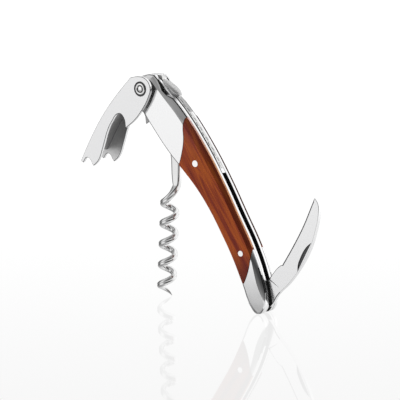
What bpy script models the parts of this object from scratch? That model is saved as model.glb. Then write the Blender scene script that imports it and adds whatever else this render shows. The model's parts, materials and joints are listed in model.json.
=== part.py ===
"""Waiter's corkscrew with a hinged foil knife, a worm and a notched boot lever.

The handle is an arched sandwich in the XZ plane. From its mid-plane outwards it has the back
spring and the moving pieces, then a liner, then a bolster, scale and bolster in a row. The lever
is a channel that straddles the upper bolsters. Lengths are given in millimetres and built in
metres. +Z is up, the object stands on the worm's tip and on the handle's lower end.
"""

import math

import bmesh
import bpy
from mathutils import Vector

MM = 0.001

# Driving dimensions, in millimetres.
CENTRE_X = -1.25           # moves the drawing sideways so that the bounds are centred on X = 0
SLOT_HALF = 1.4            # half the gap between the two liners
SPRING_HALF = 1.3          # half the thickness of the back spring
LINER_OUT = 2.9            # outer face of a liner
SIDE_IN = 3.0              # inner face of a scale or bolster
SIDE_EDGE = 3.9            # where the chamfer of a scale or bolster starts
SIDE_OUT = 5.6             # flat outer face of a scale or bolster
CHAMFER_WIDTH = 1.5        # width of that chamfer in the plane of the handle
LEVER_IN = 6.7             # inner face of a lever plate
LEVER_OUT = 8.3            # outer face of a lever plate
WEB_THICKNESS = 1.6        # the lever's back wall
JOINT_GAP = 0.25           # between a bolster and its scale
PIN_GAP = 0.12             # radial clearance around a pin

LEVER_PIVOT = (-26.9, 94.9)
WORM_PIVOT = (-13.9, 73.9)
KNIFE_PIVOT = (36.6, 6.2)
SPRING_PIN = (-6.2, 79.0)
UPPER_PIN = (1.3, 63.6)
LOWER_PIN = (25.9, 26.1)

RIVET_RADIUS = 3.1
RIVET_BORE = 1.6
RIVET_PROUD = 0.35
WASHER_RADIUS = 4.3
PIVOT_PIN_RADIUS = 1.2
UPPER_PIN_RADIUS = 1.5
LOWER_PIN_RADIUS = 1.3

WIRE_RADIUS = 1.5
COIL_RADIUS = 3.2          # from the coil's axis to the middle of the wire
COIL_PITCH = 9.5
COIL_TURNS = 4.79
COIL_TOP = (-13.35, 47.2)  # where the straight shank becomes the coil
COIL_LEAN = 0.049          # the coil's axis leans this far in X for each unit of height
COIL_STEPS = 11            # points on each turn

TANG_HALF = 1.15           # half the thickness of the worm's flat tang
BLADE_HALF = 1.15          # half the thickness of the knife

HANDLE_END_RADIUS = 6.0    # of the handle's upper end, about the lever's pivot
SPRING_END_RADIUS = 5.9

CATCH_PLACE = (-15.4, 95.6)
CATCH_LEAN = 43.5          # degrees between the catch's long axis and the horizontal
CATCH_HALF_AXES = (6.6, 2.75, 2.1)
CATCH_BASE = -0.15         # where its flat base cuts the dome, below its middle
CATCH_BLOCK = 20.0         # side of the block that cuts the base

STEEL = ((0.86, 0.86, 0.87), 0.22, 1.0)
SATIN_STEEL = ((0.80, 0.80, 0.81), 0.34, 1.0)
BRIGHT_STEEL = ((0.90, 0.90, 0.90), 0.12, 1.0)
ROSEWOOD = ((0.34, 0.085, 0.03), 0.38, 0.0)


def clear_scene():
    for item in list(bpy.data.objects):
        bpy.data.objects.remove(item, do_unlink=True)


def new_collection(name):
    group = bpy.data.collections.new(name)
    bpy.context.scene.collection.children.link(group)
    return group


def make_material(name, look):
    color, roughness, metallic = look
    material = bpy.data.materials.new(name)
    material.use_nodes = True
    shader = material.node_tree.nodes["Principled BSDF"]
    shader.inputs["Base Color"].default_value = (*color, 1.0)
    shader.inputs["Roughness"].default_value = roughness
    shader.inputs["Metallic"].default_value = metallic
    return material


def link(item, group):
    for old in list(item.users_collection):
        old.objects.unlink(item)
    group.objects.link(item)


def add_spline(curve, points, pivot):
    """A closed outline. A point is (x, z), or (x, z, "corner") where the outline turns sharply."""
    spline = curve.splines.new("BEZIER")
    spline.bezier_points.add(len(points) - 1)
    spline.use_cyclic_u = True
    for knot, point in zip(spline.bezier_points, points):
        kind = "VECTOR" if len(point) == 3 else "AUTO"
        knot.co = ((point[0] - pivot[0]) * MM, (point[1] - pivot[1]) * MM, 0.0)
        knot.handle_left_type = kind
        knot.handle_right_type = kind


def circle_points(centre, radius, count=4):
    turn = 2 * math.pi / count
    return [
        (centre[0] + radius * math.cos(turn * k), centre[1] + radius * math.sin(turn * k))
        for k in range(count)
    ]


def arc_points(centre, radius, angles):
    """Points around a centre at angles in degrees."""
    return [
        (
            centre[0] + radius * math.cos(math.radians(angle)),
            centre[1] + radius * math.sin(math.radians(angle)),
        )
        for angle in angles
    ]


def curve_to_mesh(curve_object, name):
    """Replace a curve object with a mesh object of the same shape and place, welded shut."""
    bpy.context.view_layer.update()
    graph = bpy.context.evaluated_depsgraph_get()
    mesh = bpy.data.meshes.new_from_object(curve_object.evaluated_get(graph))
    mesh.name = name
    surface = bmesh.new()
    surface.from_mesh(mesh)
    bmesh.ops.remove_doubles(surface, verts=surface.verts, dist=0.000001)
    bmesh.ops.recalc_face_normals(surface, faces=surface.faces)
    surface.to_mesh(mesh)
    surface.free()
    stance = curve_object.matrix_world.copy()
    bpy.data.objects.remove(curve_object, do_unlink=True)
    item = bpy.data.objects.new(name, mesh)
    item.matrix_world = stance
    return item


def flat_piece(name, group, outline, y_low, y_high, holes=(), pivot=(0.0, 0.0), smoothness=4):
    """A plate cut from an outline in the XZ plane, between two distances from the mid-plane."""
    curve = bpy.data.curves.new(name, "CURVE")
    curve.dimensions = "2D"
    curve.fill_mode = "BOTH"
    curve.resolution_u = smoothness
    curve.extrude = (y_high - y_low) / 2 * MM
    add_spline(curve, outline, pivot)
    for centre, radius in holes:
        add_spline(curve, circle_points(centre, radius), pivot)
    item = bpy.data.objects.new(name, curve)
    bpy.context.scene.collection.objects.link(item)
    item.rotation_euler = (math.pi / 2, 0.0, 0.0)
    item.location = place(pivot, (y_low + y_high) / 2)
    piece = curve_to_mesh(item, name)
    group.objects.link(piece)
    return piece


def place(point, y=0.0):
    return Vector((point[0] + CENTRE_X, y, point[1])) * MM


def finish(piece, material):
    piece.data.materials.clear()
    piece.data.materials.append(material)
    piece.data.shade_smooth()
    piece.data.set_sharp_from_angle(angle=math.radians(35))


def boolean(piece, other, operation):
    cut = piece.modifiers.new(operation.lower(), "BOOLEAN")
    cut.operation = operation
    cut.solver = "EXACT"
    cut.object = other


def as_cutter(item):
    item.hide_render = True
    item.display_type = "WIRE"
    return item


def cylinder(name, group, centre, radius, y_low, y_high, sides=24):
    bpy.ops.mesh.primitive_cylinder_add(
        vertices=sides,
        radius=radius * MM,
        depth=(y_high - y_low) * MM,
        location=place(centre, (y_low + y_high) / 2),
        rotation=(math.pi / 2, 0.0, 0.0),
    )
    item = bpy.context.object
    item.name = name
    link(item, group)
    return item


def back_edge():
    """The handle's convex back, from the lever's end down to the knife's end."""
    return [
        (-22.6, 101.0, "corner"),
        (-14.4, 93.6),
        (-5.8, 85.3),
        (4.5, 72.6),
        (13.8, 58.8),
        (23.4, 42.4),
        (30.8, 29.5),
        (35.9, 17.5),
        (38.6, 7.0),
    ]


def lower_end():
    return [(38.0, 2.6), (35.0, 0.0), (31.9, 1.7)]


def belly_edge():
    """The handle's hollow belly, from the knife's end up to the lever's end."""
    return [
        (26.5, 12.9),
        (21.1, 24.0),
        (15.2, 34.0),
        (8.7, 44.0),
        (1.6, 52.8),
        (-6.6, 60.9),
        (-12.7, 66.6),
        (-21.2, 76.2),
        (-27.4, 84.4),
    ]


def upper_end():
    """The rounded end about the lever's pivot."""
    return arc_points(LEVER_PIVOT, HANDLE_END_RADIUS, (-122, -152, 172, 132, 96))


def handle_outline():
    return back_edge() + lower_end() + belly_edge() + upper_end()


def pivot_holes():
    return [
        (LEVER_PIVOT, RIVET_RADIUS + PIN_GAP),
        (WORM_PIVOT, PIVOT_PIN_RADIUS + PIN_GAP),
        (KNIFE_PIVOT, PIVOT_PIN_RADIUS + PIN_GAP),
    ]


def scale_pin_holes():
    return [
        (UPPER_PIN, UPPER_PIN_RADIUS + PIN_GAP),
        (LOWER_PIN, LOWER_PIN_RADIUS + PIN_GAP),
    ]


def make_liners(group, material):
    holes = pivot_holes() + scale_pin_holes() + [(SPRING_PIN, PIVOT_PIN_RADIUS + PIN_GAP)]
    for side, low, high in (("left", -LINER_OUT, -SLOT_HALF), ("right", SLOT_HALF, LINER_OUT)):
        liner = flat_piece(side + "_liner", group, handle_outline(), low, high, holes)
        finish(liner, material)


def joint_line(which, shift):
    """The curved line where a scale meets a bolster, moved sideways by shift."""
    lines = {
        "upper": [(-2.6, 88.0), (-4.6, 84.2), (-5.3, 79.5), (-5.0, 73.5), (-6.2, 66.5), (-8.2, 60.0)],
        "lower": [(31.0, 35.0), (30.3, 31.5), (31.2, 28.2), (31.0, 23.5), (29.2, 16.5), (26.0, 10.0)],
    }
    return [(x + shift, z) for x, z in lines[which]]


def joint_region(name, group, which, shift, low, high):
    """A block that covers the handle on the bolster's side of a joint line."""
    line = joint_line(which, shift)
    first, last = line[0], line[-1]
    line = [(*first, "corner")] + line[1:-1] + [(*last, "corner")]
    far = -45.0 if which == "upper" else 55.0
    top = 115.0 if which == "upper" else first[1]
    bottom = last[1] if which == "upper" else -12.0
    above = (first[0] + (6.0 if which == "upper" else 0.0), top, "corner")
    below = (last[0], bottom, "corner")
    outline = [above] + line + [below, (far, bottom, "corner"), (far, top, "corner")]
    region = flat_piece(name, group, outline, low, high)
    return as_cutter(region)


def chamfer_outside(slab, outward):
    """Raise the outer face of a slab and draw it in, which leaves a chamfer all round."""
    surface = bmesh.new()
    surface.from_mesh(slab.data)
    flat = [face for face in surface.faces if face.normal.z * outward > 0.9]
    edge = bmesh.ops.dissolve_faces(surface, faces=flat)
    bmesh.ops.inset_region(
        surface,
        faces=edge["region"],
        thickness=CHAMFER_WIDTH * MM,
        depth=(SIDE_OUT - SIDE_EDGE) * MM,
        use_even_offset=True,
        use_boundary=True,
    )
    surface.to_mesh(slab.data)
    surface.free()


def side_slab(name, group, sign):
    """The whole outer layer of one side, before it is divided."""
    low, high = sorted((sign * SIDE_IN, sign * SIDE_EDGE))
    slab = flat_piece(name, group, handle_outline(), low, high)
    chamfer_outside(slab, -sign)
    return slab


def make_sides(group, cutters, steel, wood):
    """Upper bolster, scale and lower bolster on both sides, with the holes of their pins."""
    reach = SIDE_OUT + 2.0
    for side, sign in (("left", -1), ("right", 1)):
        low, high = sorted((sign * (SIDE_IN - 0.5), sign * reach))
        upper = side_slab(side + "_upper_bolster", group, sign)
        lower = side_slab(side + "_lower_bolster", group, sign)
        scale = side_slab(side + "_scale", group, sign)
        half_gap = JOINT_GAP / 2
        upper_in = joint_region(side + "_upper_keep", cutters, "upper", -half_gap, low, high)
        upper_out = joint_region(side + "_upper_drop", cutters, "upper", half_gap, low, high)
        lower_in = joint_region(side + "_lower_keep", cutters, "lower", half_gap, low, high)
        lower_out = joint_region(side + "_lower_drop", cutters, "lower", -half_gap, low, high)
        boolean(upper, upper_in, "INTERSECT")
        boolean(lower, lower_in, "INTERSECT")
        boolean(scale, upper_out, "DIFFERENCE")
        boolean(scale, lower_out, "DIFFERENCE")
        drills = {
            upper: [(LEVER_PIVOT, RIVET_RADIUS), (WORM_PIVOT, PIVOT_PIN_RADIUS)],
            lower: [(KNIFE_PIVOT, PIVOT_PIN_RADIUS)],
            scale: [(UPPER_PIN, UPPER_PIN_RADIUS), (LOWER_PIN, LOWER_PIN_RADIUS)],
        }
        for piece, holes in drills.items():
            for number, (centre, radius) in enumerate(holes):
                name = "%s_drill_%d" % (piece.name, number)
                drill = cylinder(name, cutters, centre, radius + PIN_GAP, low, high)
                boolean(piece, as_cutter(drill), "DIFFERENCE")
        finish(upper, steel)
        finish(lower, steel)
        finish(scale, wood)


def make_back_spring(group, material):
    """Along the back down to the blade's slot, then along the belly as the slot's floor."""
    outline = [
        (-22.6, 101.0, "corner"),
        (-14.4, 93.6),
        (-5.8, 85.3),
        (4.5, 72.6),
        (13.1, 60.0, "corner"),
        (8.9, 56.4, "corner"),
        (11.4, 46.2),
        (17.2, 37.0),
        (22.8, 26.6),
        (26.8, 17.6, "corner"),
        (24.5, 17.2, "corner"),
        (21.1, 24.0),
        (15.2, 34.0),
        (8.7, 44.0),
        (3.2, 51.0, "corner"),
        (0.0, 66.6),
        (-9.6, 79.4),
        (-17.0, 84.6),
        (-22.4, 88.6),
        (-26.3, 89.3),
    ]
    end = arc_points(LEVER_PIVOT, SPRING_END_RADIUS, (-150, 172, 132, 96))
    holes = [
        (LEVER_PIVOT, RIVET_RADIUS + PIN_GAP),
        (SPRING_PIN, PIVOT_PIN_RADIUS + PIN_GAP),
    ]
    spring = flat_piece("back_spring", group, outline + end, -SPRING_HALF, SPRING_HALF, holes)
    finish(spring, material)


def make_thumb_catch(group, cutters, material):
    """A low dome on the back of the spring, where a thumb rests."""
    bpy.ops.mesh.primitive_uv_sphere_add(
        segments=24, ring_count=12, radius=1.0, location=place(CATCH_PLACE)
    )
    catch = bpy.context.object
    catch.name = "thumb_catch"
    link(catch, group)
    lean = math.radians(CATCH_LEAN)
    for vertex in catch.data.vertices:
        vertex.co = Vector([size * along for size, along in zip(CATCH_HALF_AXES, vertex.co)]) * MM
    catch.rotation_euler = (0.0, lean, 0.0)
    outward = Vector((math.sin(lean), 0.0, math.cos(lean)))
    block_middle = place(CATCH_PLACE) + outward * (CATCH_BASE - CATCH_BLOCK / 2) * MM
    bpy.ops.mesh.primitive_cube_add(
        size=CATCH_BLOCK * MM, location=block_middle, rotation=(0.0, lean, 0.0)
    )
    block = bpy.context.object
    block.name = "catch_base_cut"
    link(block, cutters)
    boolean(catch, as_cutter(block), "DIFFERENCE")
    finish(catch, material)


def lever_back():
    """The lever's outer back edge, from its head down to the first tooth."""
    return [
        (-32.5, 99.6, "corner"),
        (-39.9, 91.8),
        (-47.1, 83.1),
        (-53.4, 73.6),
        (-57.6, 66.2),
    ]


def lever_outline():
    """One plate of the lever: head, back edge, two teeth, cap opener notch and hook."""
    pivot_x, pivot_z = LEVER_PIVOT
    teeth = [
        (-61.1, 59.4, "corner"),
        (-59.9, 58.6, "corner"),
        (-57.4, 61.3),
        (-53.9, 57.7, "corner"),
        (-51.0, 60.4),
    ]
    notch = [
        (-48.0, 67.6),
        (-45.7, 74.3),
        (-43.3, 78.7),
        (-38.9, 83.0),
        (-36.2, 81.2),
        (-35.2, 76.7, "corner"),
    ]
    inner = [(-30.4, 80.4), (-26.2, 85.2)]
    head = [
        (pivot_x + 4.6, pivot_z - 3.2),
        (pivot_x + 5.6, pivot_z + 0.6),
        (pivot_x + 3.2, pivot_z + 4.6),
        (pivot_x - 1.6, pivot_z + 5.5),
    ]
    return lever_back() + teeth + notch + inner + head


def make_lever(group, cutters, material):
    """A channel folded from plate: two equal plates joined by a web along their back edges."""
    lever = flat_piece(
        "lever", group, lever_outline(), -LEVER_OUT, LEVER_OUT,
        [(LEVER_PIVOT, RIVET_RADIUS + PIN_GAP)], LEVER_PIVOT,
    )
    outer = lever_back()
    inner_wall = [(x + WEB_THICKNESS * 0.76, z - WEB_THICKNESS * 0.65) for x, z in outer[1:]]
    web_top = (-34.8, 95.1, "corner")
    web_end = [(-57.7, 63.2, "corner"), (-66.0, 63.2, "corner"), (-66.0, 50.0, "corner")]
    channel = flat_piece(
        "lever_channel_cut", cutters,
        [(-41.0, 104.0, "corner"), web_top] + inner_wall + web_end
        + [(-15.0, 50.0, "corner"), (-15.0, 104.0, "corner")],
        -LEVER_IN, LEVER_IN, (), LEVER_PIVOT,
    )
    boolean(lever, as_cutter(channel), "DIFFERENCE")
    finish(lever, material)


def make_lever_rivet(group, cutters, steel):
    """The hollow rivet that the lever turns on."""
    ends = LEVER_OUT + RIVET_PROUD
    rivet = cylinder("lever_rivet", group, LEVER_PIVOT, RIVET_RADIUS, -ends, ends, 28)
    bore = cylinder("rivet_bore_cut", cutters, LEVER_PIVOT, RIVET_BORE, -ends - 1, ends + 1)
    boolean(rivet, as_cutter(bore), "DIFFERENCE")
    finish(rivet, steel)


def make_lever_washers(group, cutters, steel):
    gap = 0.06
    for side, sign in (("left", -1), ("right", 1)):
        low, high = sorted((sign * (SIDE_OUT + gap), sign * (LEVER_IN - gap)))
        name = side + "_lever_washer"
        washer = cylinder(name, group, LEVER_PIVOT, WASHER_RADIUS, low, high, 28)
        bore = cylinder(
            side + "_washer_bore_cut", cutters, LEVER_PIVOT, RIVET_RADIUS + PIN_GAP, low - 1, high + 1
        )
        boolean(washer, as_cutter(bore), "DIFFERENCE")
        finish(washer, steel)


def make_pins(group, steel):
    """Through pins for the worm, the knife and the spring, and a short pin on each side."""
    flush = SIDE_OUT
    through = (
        ("worm_pivot_pin", WORM_PIVOT, PIVOT_PIN_RADIUS, flush),
        ("knife_pivot_pin", KNIFE_PIVOT, PIVOT_PIN_RADIUS, flush),
        ("spring_pin", SPRING_PIN, PIVOT_PIN_RADIUS, LINER_OUT - 0.05),
    )
    for name, centre, radius, reach in through:
        finish(cylinder(name, group, centre, radius, -reach, reach), steel)
    short = (
        ("upper_scale_pin", UPPER_PIN, UPPER_PIN_RADIUS),
        ("lower_scale_pin", LOWER_PIN, LOWER_PIN_RADIUS),
    )
    for side, sign in (("left", -1), ("right", 1)):
        low, high = sorted((sign * (SLOT_HALF + 0.1), sign * flush))
        for name, centre, radius in short:
            finish(cylinder(side + "_" + name, group, centre, radius, low, high), steel)


def coil_path():
    """The middle of the worm's wire, from inside the tang down to the tip."""
    top_x, top_z = COIL_TOP
    points = [(top_x + 0.25, 0.0, top_z + 7.0), (top_x + 0.12, 0.0, top_z + 3.4)]
    steps = round(COIL_TURNS * COIL_STEPS)
    for step in range(steps + 1):
        turn = COIL_TURNS * step / steps
        angle = -2 * math.pi * turn
        drop = turn * COIL_PITCH
        axis_x = top_x - COIL_RADIUS - drop * COIL_LEAN
        x = axis_x + COIL_RADIUS * math.cos(angle)
        y = COIL_RADIUS * math.sin(angle)
        points.append((x, y, top_z - drop))
    return points


def make_worm_halves(group):
    """The worm's flat tang and its coil of wire, not yet joined."""
    pivot_x, pivot_z = WORM_PIVOT
    top_x, top_z = COIL_TOP
    tang_outline = [
        (pivot_x + 2.7, pivot_z + 0.2),
        (pivot_x, pivot_z + 2.8),
        (pivot_x - 2.7, pivot_z + 0.2),
        (top_x - 1.5, top_z + 14.0),
        (top_x - 1.6, top_z + 6.0),
        (top_x - 0.8, top_z + 2.6),
        (top_x + 0.2, top_z + 1.8),
        (top_x + 1.2, top_z + 2.6),
        (top_x + 2.1, top_z + 6.0),
        (top_x + 2.3, top_z + 14.0),
    ]
    worm = flat_piece(
        "worm", group, tang_outline, -TANG_HALF, TANG_HALF,
        [(WORM_PIVOT, PIVOT_PIN_RADIUS + PIN_GAP)], WORM_PIVOT,
    )
    curve = bpy.data.curves.new("worm_wire", "CURVE")
    curve.dimensions = "3D"
    curve.bevel_depth = WIRE_RADIUS * MM
    curve.bevel_resolution = 2
    curve.use_fill_caps = True
    path = coil_path()
    spline = curve.splines.new("POLY")
    spline.points.add(len(path) - 1)
    for knot, (x, y, z) in zip(spline.points, path):
        knot.co = ((x + CENTRE_X) * MM, y * MM, z * MM, 1.0)
    wire = bpy.data.objects.new("worm_wire", curve)
    bpy.context.scene.collection.objects.link(wire)
    wire = curve_to_mesh(wire, "worm_wire")
    return worm, wire


def make_worm(group, cutters, material):
    """The right-handed coil and its flat tang, in one piece."""
    worm, wire = make_worm_halves(group)
    cutters.objects.link(wire)
    boolean(worm, as_cutter(wire), "UNION")
    finish(worm, material)


def make_knife(group, material):
    """The curved foil knife: a hooked blade, a step at its heel and a round tang."""
    pivot_x, pivot_z = KNIFE_PIVOT
    spine = [
        (61.3, 54.0, "corner"),
        (63.2, 51.4),
        (63.4, 46.6),
        (62.0, 39.8),
        (59.2, 31.2),
        (54.6, 22.8),
        (48.6, 14.8),
        (42.4, 8.6),
    ]
    tang = [
        (pivot_x + 3.6, pivot_z - 1.2),
        (pivot_x + 1.0, pivot_z - 3.6),
        (pivot_x - 2.6, pivot_z - 2.6),
        (pivot_x - 3.6, pivot_z + 1.0),
        (pivot_x - 1.6, pivot_z + 5.6),
    ]
    edge = [
        (38.6, 16.4),
        (43.6, 22.0),
        (44.9, 22.6, "corner"),
        (50.6, 32.0),
        (55.6, 41.2),
        (59.6, 50.2),
    ]
    blade = flat_piece(
        "knife_blade", group, spine + tang + edge, -BLADE_HALF, BLADE_HALF,
        [(KNIFE_PIVOT, PIVOT_PIN_RADIUS + PIN_GAP)], KNIFE_PIVOT,
    )
    finish(blade, material)


def build():
    clear_scene()
    group = new_collection("waiters_corkscrew")
    cutters = new_collection("cutters")
    steel = make_material("steel", STEEL)
    satin = make_material("satin_steel", SATIN_STEEL)
    bright = make_material("bright_steel", BRIGHT_STEEL)
    wood = make_material("rosewood", ROSEWOOD)
    make_liners(group, satin)
    make_sides(group, cutters, steel, wood)
    make_back_spring(group, satin)
    make_thumb_catch(group, cutters, satin)
    make_lever(group, cutters, steel)
    make_lever_rivet(group, cutters, bright)
    make_lever_washers(group, cutters, satin)
    make_pins(group, bright)
    make_worm(group, cutters, bright)
    make_knife(group, steel)


build()
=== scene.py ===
"""Looks of the waiter's corkscrew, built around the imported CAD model.

Lengths are in millimetres until a mesh is made. The handle lies in the XZ plane, and "outward"
is away from its mid-plane Y = 0. The left side is at -Y and faces the camera.
"""

import json
import math

import bmesh
import bpy
from mathutils import Matrix, Vector
from mathutils.geometry import delaunay_2d_cdt


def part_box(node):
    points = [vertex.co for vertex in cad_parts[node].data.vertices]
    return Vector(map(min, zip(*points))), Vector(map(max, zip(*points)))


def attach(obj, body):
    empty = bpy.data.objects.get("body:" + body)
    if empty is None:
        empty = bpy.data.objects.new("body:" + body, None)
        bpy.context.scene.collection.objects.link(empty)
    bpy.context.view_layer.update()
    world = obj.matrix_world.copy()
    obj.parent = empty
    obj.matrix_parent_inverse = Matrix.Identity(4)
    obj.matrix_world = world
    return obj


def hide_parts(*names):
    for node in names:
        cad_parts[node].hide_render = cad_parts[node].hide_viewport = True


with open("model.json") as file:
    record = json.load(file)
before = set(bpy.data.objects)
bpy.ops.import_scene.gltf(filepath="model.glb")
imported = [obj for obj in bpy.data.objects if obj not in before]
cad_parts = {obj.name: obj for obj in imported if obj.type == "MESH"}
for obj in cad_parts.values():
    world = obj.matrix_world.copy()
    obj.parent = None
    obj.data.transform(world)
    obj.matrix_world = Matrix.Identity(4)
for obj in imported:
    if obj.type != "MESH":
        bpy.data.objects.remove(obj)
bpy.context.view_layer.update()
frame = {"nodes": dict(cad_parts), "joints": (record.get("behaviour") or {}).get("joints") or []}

MM = 0.001
SIDES = (("left", -1), ("right", 1))

# Sizes that refine the CAD pieces, in millimetres.
LINER_IN = 1.4
LINER_OUT = 2.9
SIDE_IN = 3.0
SIDE_OUT = 5.6
SPRING_HALF = 1.3
TANG_HALF = 1.15
BLADE_HALF = 1.15
WIRE_RADIUS = 1.5
COIL_RADIUS = 3.2
COIL_PITCH = 9.5
COIL_TURNS = 4.79
COIL_LEAN = 0.049
STEPS_PER_TURN = 44
COIL_DROP = (0.55, 26.7)       # from the worm's pivot to the top of its coil

# The facet along the handle's back: (height, width of the facet, where it starts in Y).
FACET = (
    (2.0, 0.9, 4.9),
    (8.0, 1.4, 4.6),
    (10.5, 2.6, 3.3),
    (14.0, 2.9, 3.15),
    (20.0, 2.4, 3.15),
    (27.0, 1.5, 3.15),
    (35.0, 1.6, 3.15),
    (47.0, 1.9, 3.15),
    (58.0, 2.1, 3.15),
    (70.0, 2.6, 3.15),
    (80.0, 3.1, 3.15),
    (92.0, 2.8, 3.15),
    (101.0, 2.0, 3.15),
)
BELLY_WIDTH = 0.75             # the narrow facet along the belly
BELLY_START = 4.9
BACK_END = (-23.85, 101.0)     # the corner where the handle's back meets its upper end
BLIND_PIN = 3.9                # half length of the knife's pin, which ends under the bolsters
SCOOP = (2.6, 15.4, 1.6)       # the hollow beside the catch: start and end along the back, depth
SCOOP_LOW = 85.0               # the hollow stays above this height
SEAM_LOW = 8.5                 # a lower bolster's seam gets painted shade above this height
SEAM_FADE = 14.0               # and above this one it gets thinner
RIM_END = 2.0                  # below this height the rim's painted shade goes round the handle's end
CROWN_START = 24.0             # below this height the flat faces curve inwards
CROWN_RADIUS = 240.0
CATCH_MIDDLE = 9.0             # along the back, from its upper corner
CATCH_HALF = (5.9, 2.75)       # half length, half width
CATCH_RISE = 2.3
HATCH_PITCH = 1.05
PAINTED_SHADE_SPAN = (12.0, 23.2)       # a stretch of the back below the catch, with painted shade on its right side
FILEWORK = (0.35, 52.4)        # where the file-worked strip starts and ends along the back
PATTERN_START = 3.2            # the pattern starts here, past a small scroll
FILEWORK_RISE = 0.26
CUT_DEPTH = 0.20
TANG_TOP = 15.5                # the knife's tang ends at this height, and its ground edge starts
RIM_STEPS = 3                  # bands in a plate's rounded rim
RIVET_STEPS = 48
NET_STEP = 1.7                 # mesh width in a crowned face
NET_MARGIN = 0.9               # and how far that net stays from the face's edge
PIVOT_RADIUS = 1.2


def millimetres(point):
    return (point[0] / MM, point[1] / MM, point[2] / MM)


def joint_place(name):
    """A joint's pivot as (x, z) in millimetres."""
    joint = next(item for item in frame["joints"] if item["name"] == name)
    place = millimetres(joint["pos_m"])
    return (place[0], place[2])


LEVER_PIVOT = joint_place("lever_pivot")
WORM_PIVOT = joint_place("worm_pivot")


def middle(node):
    low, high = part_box(node)
    centre = (low + high) / 2
    return (centre.x / MM, centre.z / MM)


# ---------------------------------------------------------------- mesh helpers


def flat_outline(node, y):
    """The outer edge of a node's flat face at that Y, as (x, z) points, anticlockwise."""
    mesh = frame["nodes"][node].data
    uses = {}
    for polygon in mesh.polygons:
        corners = [mesh.vertices[index].co / MM for index in polygon.vertices]
        if all(abs(corner.y - y) < 0.02 for corner in corners):
            keys = [(round(corner.x, 3), round(corner.z, 3)) for corner in corners]
            for first, second in zip(keys, keys[1:] + keys[:1]):
                edge = frozenset((first, second))
                uses[edge] = uses.get(edge, 0) + 1
    neighbours = {}
    for edge, count in uses.items():
        if count == 1 and len(edge) == 2:
            first, second = tuple(edge)
            neighbours.setdefault(first, []).append(second)
            neighbours.setdefault(second, []).append(first)
    loops = []
    seen = set()
    for start in sorted(neighbours):
        if start in seen:
            continue
        loop = []
        onward = [start]
        while onward:
            loop.append(onward[0])
            seen.add(onward[0])
            onward = [point for point in neighbours[onward[0]] if point not in seen]
        loops.append(loop)
    loop = drop_close(max(loops, key=lambda points: abs(area(points))))
    return loop if area(loop) > 0 else loop[::-1]


def area(points):
    """An outline's area: positive where it runs anticlockwise."""
    total = 0.0
    for (x0, z0), (x1, z1) in zip(points, points[1:] + points[:1]):
        total += x0 * z1 - x1 * z0
    return total / 2


def drop_close(points, least=0.08):
    kept = [points[0]]
    for point in points[1:]:
        if math.dist(point, kept[-1]) > least:
            kept.append(point)
    if math.dist(kept[0], kept[-1]) <= least:
        kept.pop()
    return kept


def inward_normals(points):
    """For each outline point, the direction in which a wall moves when the outline shrinks."""
    result = []
    for before, here, onward in zip(points[-1:] + points[:-1], points, points[1:] + points[:1]):
        first = (Vector(here) - Vector(before)).normalized()
        second = (Vector(onward) - Vector(here)).normalized()
        left_first = Vector((-first.y, first.x))
        left_second = Vector((-second.y, second.x))
        mean = left_first + left_second
        if mean.length < 0.2:
            mean = left_second
        mean.normalize()
        stretch = 1.0 / max(0.55, mean.dot(left_second))
        result.append(mean * stretch)
    return result


def smooth_line(points, steps):
    """A smooth curve through (x, z) points."""
    ends = [points[0], *points, points[-1]]
    result = []
    for index in range(len(points) - 1):
        p0, p1, p2, p3 = (Vector(corner) for corner in ends[index : index + 4])
        for step in range(steps):
            t = step / steps
            point = 0.5 * (
                2 * p1
                + (p2 - p0) * t
                + (2 * p0 - 5 * p1 + 4 * p2 - p3) * t * t
                + (3 * p1 - p0 - 3 * p2 + p3) * t ** 3
            )
            result.append(tuple(point))
    return result + [tuple(points[-1])]


def table_value(table, key, column):
    """Linear interpolation in a table whose first column rises."""
    if key <= table[0][0]:
        return table[0][column]
    for low, high in zip(table, table[1:]):
        if key <= high[0]:
            share = (key - low[0]) / (high[0] - low[0])
            return low[column] + (high[column] - low[column]) * share
    return table[-1][column]


def to_object(surface, name):
    bmesh.ops.recalc_face_normals(surface, faces=surface.faces)
    mesh = bpy.data.meshes.new(name)
    surface.to_mesh(mesh)
    surface.free()
    mesh.transform(Matrix.Scale(MM, 4))
    piece = bpy.data.objects.new(name, mesh)
    bpy.context.scene.collection.objects.link(piece)
    return piece


def bridge(surface, first, second):
    """The faces between two rings of corners, where one may be a single corner."""
    count = max(len(first), len(second))
    faces = []
    for step in range(count):
        onward = (step + 1) % count
        corners = (
            first[step % len(first)],
            first[onward % len(first)],
            second[onward % len(second)],
            second[step % len(second)],
        )
        faces.append(surface.faces.new(list(dict.fromkeys(corners))))
    return faces


def stack_rings(name, rings):
    """A closed body from rings of equal length, with a flat cap on the first and on the last."""
    surface = bmesh.new()
    rows = [[surface.verts.new(point) for point in ring] for ring in rings]
    for lower, upper in zip(rows, rows[1:]):
        bridge(surface, lower, upper)
    surface.faces.new(rows[0][::-1])
    surface.faces.new(rows[-1])
    return to_object(surface, name)


def prism(name, outline, sign, inner, outer):
    """A straight body on one side of the handle, between two distances from its mid-plane."""
    low, high = sorted((sign * inner, sign * outer))
    return stack_rings(name, [[(x, y, z) for x, z in outline] for y in (low, high)])


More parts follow.
